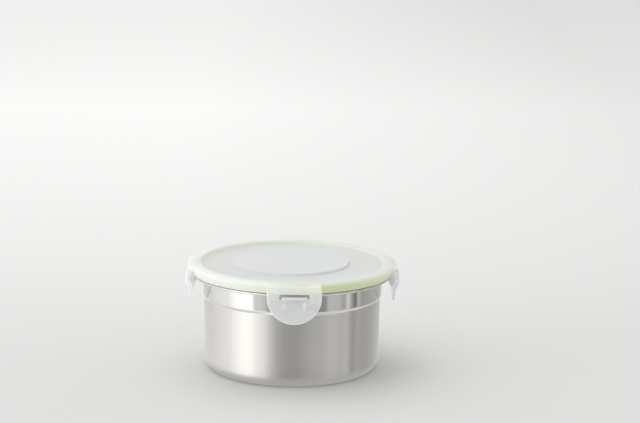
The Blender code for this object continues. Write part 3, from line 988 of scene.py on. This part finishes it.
def between(table, height):
    """The value at a height in a table of (height, value) rows that go down, straight between rows."""
    if height >= table[0][0]:
        return table[0][1]
    for (high, upper), (low, lower) in zip(table, table[1:]):
        if height >= low:
            return lower + (upper - lower) * (height - low) / (high - low)
    return table[-1][1]


def flap_plate(latch, path):
    """The flap itself: a D-shaped plate with a slot, bent along the path of its outer face."""
    edge = latch.rounding
    half_width = latch.half_width - edge
    top = latch.top - edge
    outline = arc((0, latch.round_centre), half_width, 180, 360, 64)
    outline += [(half_width, top), (-half_width, top)]
    hole_width = latch.slot_half_width + edge
    low, high = latch.sill_outside - edge, latch.slot_top + edge
    hole = [(-hole_width, low), (hole_width, low), (hole_width, high), (-hole_width, high)]
    slot_corner = 1.1 * MM
    mesh = plate([outline, rounded(hole, slot_corner)], latch.thickness / 2, edge)
    mesh.transform(FACE_VIEW)

    solid = bmesh.new()
    solid.from_mesh(mesh)
    for _, height in path[1:-1]:
        geometry = solid.verts[:] + solid.edges[:] + solid.faces[:]
        bmesh.ops.bisect_plane(solid, geom=geometry, plane_co=(0, 0, height), plane_no=(0, 0, 1))
    bmesh.ops.remove_doubles(solid, verts=solid.verts, dist=WELD)
    outer_face = [(height, radius) for radius, height in path]
    thickness = flap_thickness(latch)
    for point in solid.verts:
        height = point.co.z
        through = 0.5 - point.co.x / latch.thickness
        point.co.x = between(outer_face, height) - between(thickness, height) * through
    bmesh.ops.recalc_face_normals(solid, faces=solid.faces)
    solid.to_mesh(mesh)
    solid.free()
    return mesh


def flap_ribs(latch, path):
    """The hook rib behind the slot, the slot's sill, and two gussets from the hook down to the tab."""
    nose = 0.7 * MM
    bottom = latch.hook_top - latch.hook_thickness
    root = latch.outside - latch.thickness / 2
    hook = [(latch.hook_tip + nose, latch.hook_top), (latch.hook_tip, latch.hook_top - nose)]
    hook += [(latch.hook_tip, bottom + nose), (latch.hook_tip + nose, bottom)]
    hook += [(root - 0.4 * MM, bottom), (root, latch.hook_top)]
    middle = [(radius - latch.thickness / 2, height) for radius, height in path if height <= latch.bend_top]
    nose_height = bottom + nose
    tab_middle = latch.tab_outside - latch.thickness / 2
    gusset = [(latch.hook_tip + 0.25 * MM, nose_height)]
    gusset += [(tab_middle - latch.gusset_thickness / 2, latch.gusset_bottom)]
    gusset += [(tab_middle, latch.gusset_bottom)]
    gusset += [point for point in reversed(middle) if latch.bend_bottom <= point[1] < nose_height]
    gusset += [(between([(z, r) for r, z in middle], nose_height), nose_height)]
    back = latch.outside - latch.thickness + 0.1 * MM
    front = latch.outside - 1.0 * MM
    sill_bottom = latch.sill_outside - 0.6 * MM
    sill = [(back, sill_bottom), (front, sill_bottom), (front, latch.sill_outside)]
    sill += [(back + 0.4 * MM, latch.sill_inside), (back, latch.sill_inside)]
    half_length = latch.slot_half_width - latch.sill_gap
    ribs = [rib(hook, half_length, rounding=0.15 * MM), rib(sill, half_length, rounding=0.12 * MM)]
    for tangent in (-latch.gusset_offset, latch.gusset_offset):
        ribs.append(rib(gusset, latch.gusset_thickness / 2, tangent, rounding=0.1 * MM))
    return ribs


def flap_mesh(latch):
    """One latch that faces +X."""
    path = flap_path(latch)
    return joined(flap_plate(latch, path), flap_ribs(latch, path))


def web_mesh(latch):
    """The thin bend between ear and flap, which reaches a little way into both."""
    centre = (latch.hinge_radius, latch.hinge_height)
    inner = latch.web_outside - latch.web_thickness
    reach = 0.5 * MM
    section = [(centre[0] - reach, centre[1] + latch.web_outside)]
    section += arc(centre, latch.web_outside, 90, 0, 10)
    section += [(centre[0] + latch.web_outside, centre[1] - reach), (centre[0] + inner, centre[1] - reach)]
    section += arc(centre, inner, 0, 90, 8)
    section += [(centre[0] - reach, centre[1] + inner)]
    return rib(section, latch.web_half_width)


class MakeBowl(bpy.types.Operator):
    """Turns the steel bowl from its section"""

    bl_idname = "container.make_bowl"
    bl_label = "Steel bowl"

    def execute(self, context):
        material = stainless_steel()
        mesh = smooth(turned(bowl_section(context.scene.container_bowl), material))
        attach(finished("drawn_steel_bowl", mesh, material, "steel_bowl"), "bowl")
        return {"FINISHED"}


class MakeLid(bpy.types.Operator):
    """Makes the lid with its four ears"""

    bl_idname = "container.make_lid"
    bl_label = "Lid"

    def execute(self, context):
        lid = context.scene.container_lid
        material = frosted_polypropylene()
        mesh = smooth(lid_mesh(lid))
        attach(finished("frosted_lid", mesh, material, "lid"), "lid")
        return {"FINISHED"}


class MakeSeal(bpy.types.Operator):
    """Turns the seal that sits in the lid's channel"""

    bl_idname = "container.make_seal"
    bl_label = "Seal"

    def execute(self, context):
        material = green_silicone()
        mesh = smooth(turned(seal_section(context.scene.container_lid), material))
        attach(finished("silicone_seal", mesh, material, "gasket"), "lid")
        return {"FINISHED"}


class MakeLatches(bpy.types.Operator):
    """Makes one latch and puts a copy of it on each side of the lid"""

    bl_idname = "container.make_latches"
    bl_label = "Latches"

    def execute(self, context):
        material = frosted_polypropylene()
        flap = flap_mesh(context.scene.container_latch)
        for number, side in enumerate(SIDES):
            mesh = smooth(on_side(flap, number, material))
            node = side + "_latch"
            piece = finished(side + "_flap", mesh, material, node)
            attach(piece, node)
        return {"FINISHED"}


class MakeHinges(bpy.types.Operator):
    """Makes the living hinge of each latch, which bends from the lid to the latch"""

    bl_idname = "container.make_hinges"
    bl_label = "Living hinges"

    def execute(self, context):
        latch = context.scene.container_latch
        material = frosted_polypropylene()
        web = web_mesh(latch)
        for number, side in enumerate(SIDES):
            mesh = smooth(on_side(web, number, material))
            piece = finished(side + "_web", mesh, material, side + "_hinge")
            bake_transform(piece)
        return {"FINISHED"}


# The room that the steel reflects, as brightness by direction: degrees from the camera's side,
# negative to the left. A bright window stands on the left, the side of the camera is dim, and
# on the right are narrow light and dark stripes before a mid-grey wall
ROOM = (
    (-180, 1.05),
    (-150, 1.0),
    (-130, 1.1),
    (-110, 1.3),
    (-92, 1.4),
    (-80, 1.7),
    (-72, 2.0),
    (-53, 2.05),
    (-44, 1.95),
    (-37, 1.7),
    (-30, 1.1),
    (-22, 0.7),
    (-14, 0.55),
    (-4, 0.5),
    (8, 0.5),
    (22, 0.72),
    (40, 0.8),
    (60, 0.8),
    (69, 0.6),
    (75, 1.05),
    (81, 0.55),
    (87, 0.25),
    (93, 0.8),
    (99, 0.55),
    (120, 0.62),
    (140, 0.72),
    (160, 0.8),
    (180, 1.05),
)
# A low dark front before the camera, seen only in the polished band: its two ends, the softness of
# these, and how much of the brightness it takes away
DARK_FRONT = (math.radians(-52), math.radians(44), math.radians(2), 0.5)


class MakeStage(bpy.types.Operator):
    """Sets the camera, the floor, the room and the lights"""

    bl_idname = "container.make_stage"
    bl_label = "Stage"

    def execute(self, context):
        scene = context.scene
        settings = scene.container_stage
        scene.view_settings.view_transform = "Standard"
        lens = bpy.data.cameras.new("camera")
        lens.lens = settings.focal_length
        lens.sensor_width = 36.0
        camera = new_object("camera", lens)
        camera.location = settings.camera_place
        camera.rotation_euler = settings.camera_turn
        scene.camera = camera
        make_room(scene)
        make_floor(scene)
        make_lights(settings)
        return {"FINISHED"}


def make_room(scene):
    """The world: soft light of uneven brightness all round, as in a studio with one bright side."""
    world = bpy.data.worlds.new("room")
    scene.world = world
    tree = new_shader_tree(world)
    direction = add_node(tree, "ShaderNodeTexCoord")
    parts = add_node(tree, "ShaderNodeSeparateXYZ", {"Vector": direction.outputs["Generated"]})
    upward = parts.outputs["Z"]
    towards = add_node(tree, "ShaderNodeMath", {0: parts.outputs["Y"], 1: -1.0}, operation="MULTIPLY")
    angle = add_node(tree, "ShaderNodeMath", {0: parts.outputs["X"], 1: towards}, operation="ARCTAN2")
    share = product(tree, (angle, -math.pi, math.pi))
    ramp = add_node(tree, "ShaderNodeValToRGB", {"Fac": share})
    ramp.color_ramp.interpolation = "EASE"
    stops = ramp.color_ramp.elements
    while len(stops) < len(ROOM):
        stops.new(0.5)
    for stop, (degrees, brightness) in zip(stops, ROOM):
        stop.position = (degrees + 180) / 360
        stop.color = (brightness, brightness, brightness, 1)
    left_end, right_end, soft, taken = DARK_FRONT
    bottom, top = (-0.42, -0.34), (-0.15, -0.07)
    front = product(
        tree,
        (upward, *bottom, 0.0, taken),
        (upward, *top, 1.0, 0.0),
        *window(angle, (left_end - soft, left_end + soft), (right_end - soft, right_end + soft)),
    )
    black = (0, 0, 0, 1)
    around = add_node(tree, "ShaderNodeMix", {0: front, 6: ramp, 7: black}, data_type="RGBA")
    # Below, the steel sees the bright floor, and straight down the shade under itself
    downwards = product(tree, (upward, -0.45, -0.7), (upward, -0.85, -0.97, 1.0, 0.3))
    bright = (1.1, 1.1, 1.1, 1)
    reflected = add_node(
        tree, "ShaderNodeMix", {0: downwards, 6: around.outputs[2], 7: bright}, data_type="RGBA"
    )
    # Matt surfaces get even light from all sides, a little less of it from the right
    level = scene.container_stage.even_light
    even = product(tree, (parts.outputs["X"], -1.0, 1.0, 1.22 * level, 0.78 * level))
    glossy = add_node(tree, "ShaderNodeLightPath").outputs["Is Glossy Ray"]
    seen = add_node(tree, "ShaderNodeMix", {0: glossy, 6: even, 7: reflected.outputs[2]}, data_type="RGBA")
    light = add_node(tree, "ShaderNodeBackground", {"Color": seen.outputs[2], "Strength": 1.0})
    add_node(tree, "ShaderNodeOutputWorld", {"Surface": light})
    # Sampled as a lamp, the room would show its even light in the steel too
    world.cycles.sampling_method = "NONE"


def make_floor(scene):
    """A wide pale floor that fills the view and keeps the shadow.

    Close to it, the steel sees the floor as a painted reflection: an even glow of the floor's colour,
    without the shadow. Farther off, where the view ends, it reflects the room.
    """
    finishes = scene.container_finishes
    material, tree, place = new_material("matt_white_board")
    material.cycles.emission_sampling = "NONE"
    parts = add_node(tree, "ShaderNodeSeparateXYZ", {"Vector": place})
    # Painted light: the board is made a little paler far off on the left, as if lit more from there
    painted_paler = product(
        tree, (parts.outputs["Y"], 0.0, 1.2), (parts.outputs["X"], -0.1, 0.5, 1.0, 0.4)
    )
    shade = add_node(
        tree,
        "ShaderNodeMix",
        {0: painted_paler, 6: (*finishes.floor, 1), 7: (*finishes.far_floor_painted_light, 1)},
        data_type="RGBA",
    )
    shader = add_node(
        tree,
        "ShaderNodeBsdfPrincipled",
        {"Base Color": shade.outputs[2], "Roughness": 0.9, "Specular IOR Level": 0.1},
    )
    path = add_node(tree, "ShaderNodeLightPath")
    # Painted reflection: for the steel, the floor close by glows evenly in its own colour, without the
    # shadow; farther off it is clear and shows the room
    far_off = product(tree, (path.outputs["Ray Length"], 8 * MM, 25 * MM))
    painted_glow = add_node(tree, "ShaderNodeEmission", {"Color": (*finishes.floor, 1)})
    clear = add_node(tree, "ShaderNodeBsdfTransparent")
    reflected = add_node(tree, "ShaderNodeMixShader", {"Fac": far_off, 1: painted_glow, 2: clear})
    surface = add_node(
        tree, "ShaderNodeMixShader", {"Fac": path.outputs["Is Glossy Ray"], 1: shader, 2: reflected}
    )
    add_node(tree, "ShaderNodeOutputMaterial", {"Surface": surface})
    half = scene.container_stage.floor_size / 2
    mesh = bpy.data.meshes.new("floor")
    corners = [(-half, -half, 0), (half, -half, 0), (half, half, 0), (-half, half, 0)]
    mesh.from_pydata(corners, [], [(0, 1, 2, 3)])
    mesh.materials.append(material)
    new_object("floor", mesh)


def make_lights(settings):
    """Low lights on both sides, which the room stands for in the steel, and a wide one overhead."""
    target = Vector((0, 0, 40 * MM))
    for name, place, size, power, in_reflections in (
        ("left_softbox", (-2.7, -1.2, 0.2), (2.0, 0.4), settings.softbox_power, False),
        ("right_fill", (2.6, 1.5, 0.2), (2.0, 0.4), settings.fill_power, False),
        ("overhead", (-0.2, 0.3, 1.4), (1.2, 1.2), settings.overhead_power, True),
    ):
        lamp = bpy.data.lights.new(name, "AREA")
        lamp.shape = "RECTANGLE"
        lamp.size, lamp.size_y = size
        lamp.energy = power
        light = new_object(name, lamp)
        light.visible_camera = False
        light.visible_glossy = in_reflections
        light.location = place
        aim = target - Vector(place)
        light.rotation_euler = aim.to_track_quat("-Z", "Y").to_euler()


class ContainerPanel(bpy.types.Panel):
    """Sizes, finishes and the steps that make the container"""

    bl_idname = "VIEW3D_PT_container"
    bl_label = "Food container"
    bl_space_type = "VIEW_3D"
    bl_region_type = "UI"
    bl_category = "Container"

    def draw(self, context):
        for operator in OPERATORS:
            self.layout.operator(operator.bl_idname)
        for group in GROUPS:
            settings = getattr(context.scene, group)
            column = self.layout.column(align=True)
            column.label(text=group.replace("_", " ").capitalize())
            for name in settings.bl_rna.properties.keys():
                if name not in ("name", "rna_type"):
                    column.prop(settings, name)


GROUPS = {
    "container_bowl": BowlSizes,
    "container_lid": LidSizes,
    "container_latch": LatchSizes,
    "container_finishes": Finishes,
    "container_stage": StageSettings,
}
OPERATORS = (MakeBowl, MakeLid, MakeSeal, MakeLatches, MakeHinges, MakeStage)
CLASSES = (*GROUPS.values(), *OPERATORS, ContainerPanel)


def register():
    for cls in CLASSES:
        bpy.utils.register_class(cls)
    for name, group in GROUPS.items():
        setattr(bpy.types.Scene, name, PointerProperty(type=group))


def unregister():
    for name in GROUPS:
        delattr(bpy.types.Scene, name)
    for cls in reversed(CLASSES):
        bpy.utils.unregister_class(cls)


def main():
    register()
    bpy.ops.container.make_stage()
    bpy.ops.container.make_bowl()
    bpy.ops.container.make_seal()
    bpy.ops.container.make_lid()
    bpy.ops.container.make_latches()
    bpy.ops.container.make_hinges()


if __name__ == "__main__":
    main()
